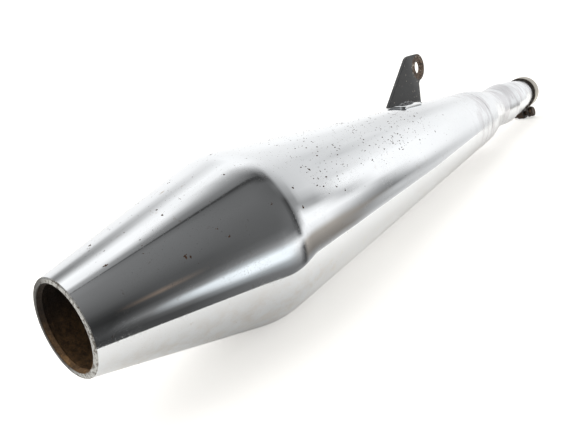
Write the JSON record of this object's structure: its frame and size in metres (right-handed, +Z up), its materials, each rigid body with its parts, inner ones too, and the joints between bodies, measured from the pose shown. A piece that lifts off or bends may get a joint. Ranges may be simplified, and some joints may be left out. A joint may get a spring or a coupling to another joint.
{
  "type": "exhaust muffler",
  "caption": "Long tapered chrome exhaust muffler with a reverse cone outlet, an upright hanging bracket and a slotted inlet sleeve with a bolted band clamp.",
  "frame": {"origin": "centre of the inlet sleeve's mouth, on the muffler's axis", "axes": "+X forward, out of the inlet mouth along the axis; +Z up along the hanging bracket; the outlet faces -X"},
  "size_m": [0.605, 0.1038, 0.1277],
  "materials": {
    "chrome": "mirror plating, pitted with small rust specks",
    "bare_lip": "worn through to rough bare steel",
    "inner_steel": "rusted and sooted",
    "bracket_paint": "satin black, chipped at the edges",
    "clamp_steel": "dull plating, stained brown",
    "fastener_steel": "darkened with heat and rust"
  },
  "bodies": {
    "muffler": {"outlet_rim": "bare_lip", "reverse_cone": "chrome", "shoulder_weld": "chrome", "body_shell": "chrome", "cup_weld": "chrome", "front_cup": "chrome", "nose_cone": "chrome", "nose_weld": "chrome", "inlet_sleeve": "chrome", "sleeve_weld": "chrome", "core_tube": "inner_steel", "core_end_cap": "inner_steel", "front_baffle": "inner_steel", "mid_baffle": "inner_steel", "rear_baffle": "inner_steel", "transfer_tubes": "inner_steel", "tail_tube": "inner_steel", "bracket_foot": "chrome", "mounting_bracket": "bracket_paint", "bracket_welds": "bracket_paint"},
    "clamp": {"clamp_band": "clamp_steel"},
    "bolt": {"clamp_bolt": "fastener_steel"},
    "washer": {"clamp_washer": "fastener_steel"},
    "nut": {"clamp_nut": "fastener_steel"}
  },
  "joints": [
    {"name": "clamp_turn", "type": "hinge", "parent": "muffler", "child": "clamp", "pos_m": [-0.0095, 0, 0], "axis": [1, 0, 0], "continuous": true},
    {"name": "bolt_turn", "type": "hinge", "parent": "clamp", "child": "bolt", "pos_m": [-0.0095, -0.00507, -0.02387], "axis": [0, -0.9781, 0.2079], "continuous": true},
    {"name": "washer_travel", "type": "slide", "parent": "bolt", "child": "washer", "axis": [0, 0.9781, -0.2079], "range_m": [0, 0.004]},
    {"name": "nut_turn", "type": "hinge", "parent": "washer", "child": "nut", "pos_m": [-0.0095, -0.00507, -0.02387], "axis": [0, 0.9781, -0.2079], "range_deg": [0, 1440]}
  ],
  "couplings": [
    {"joint": "nut_turn", "follows": "washer_travel", "rad_per_m": 6283.2}
  ]
}
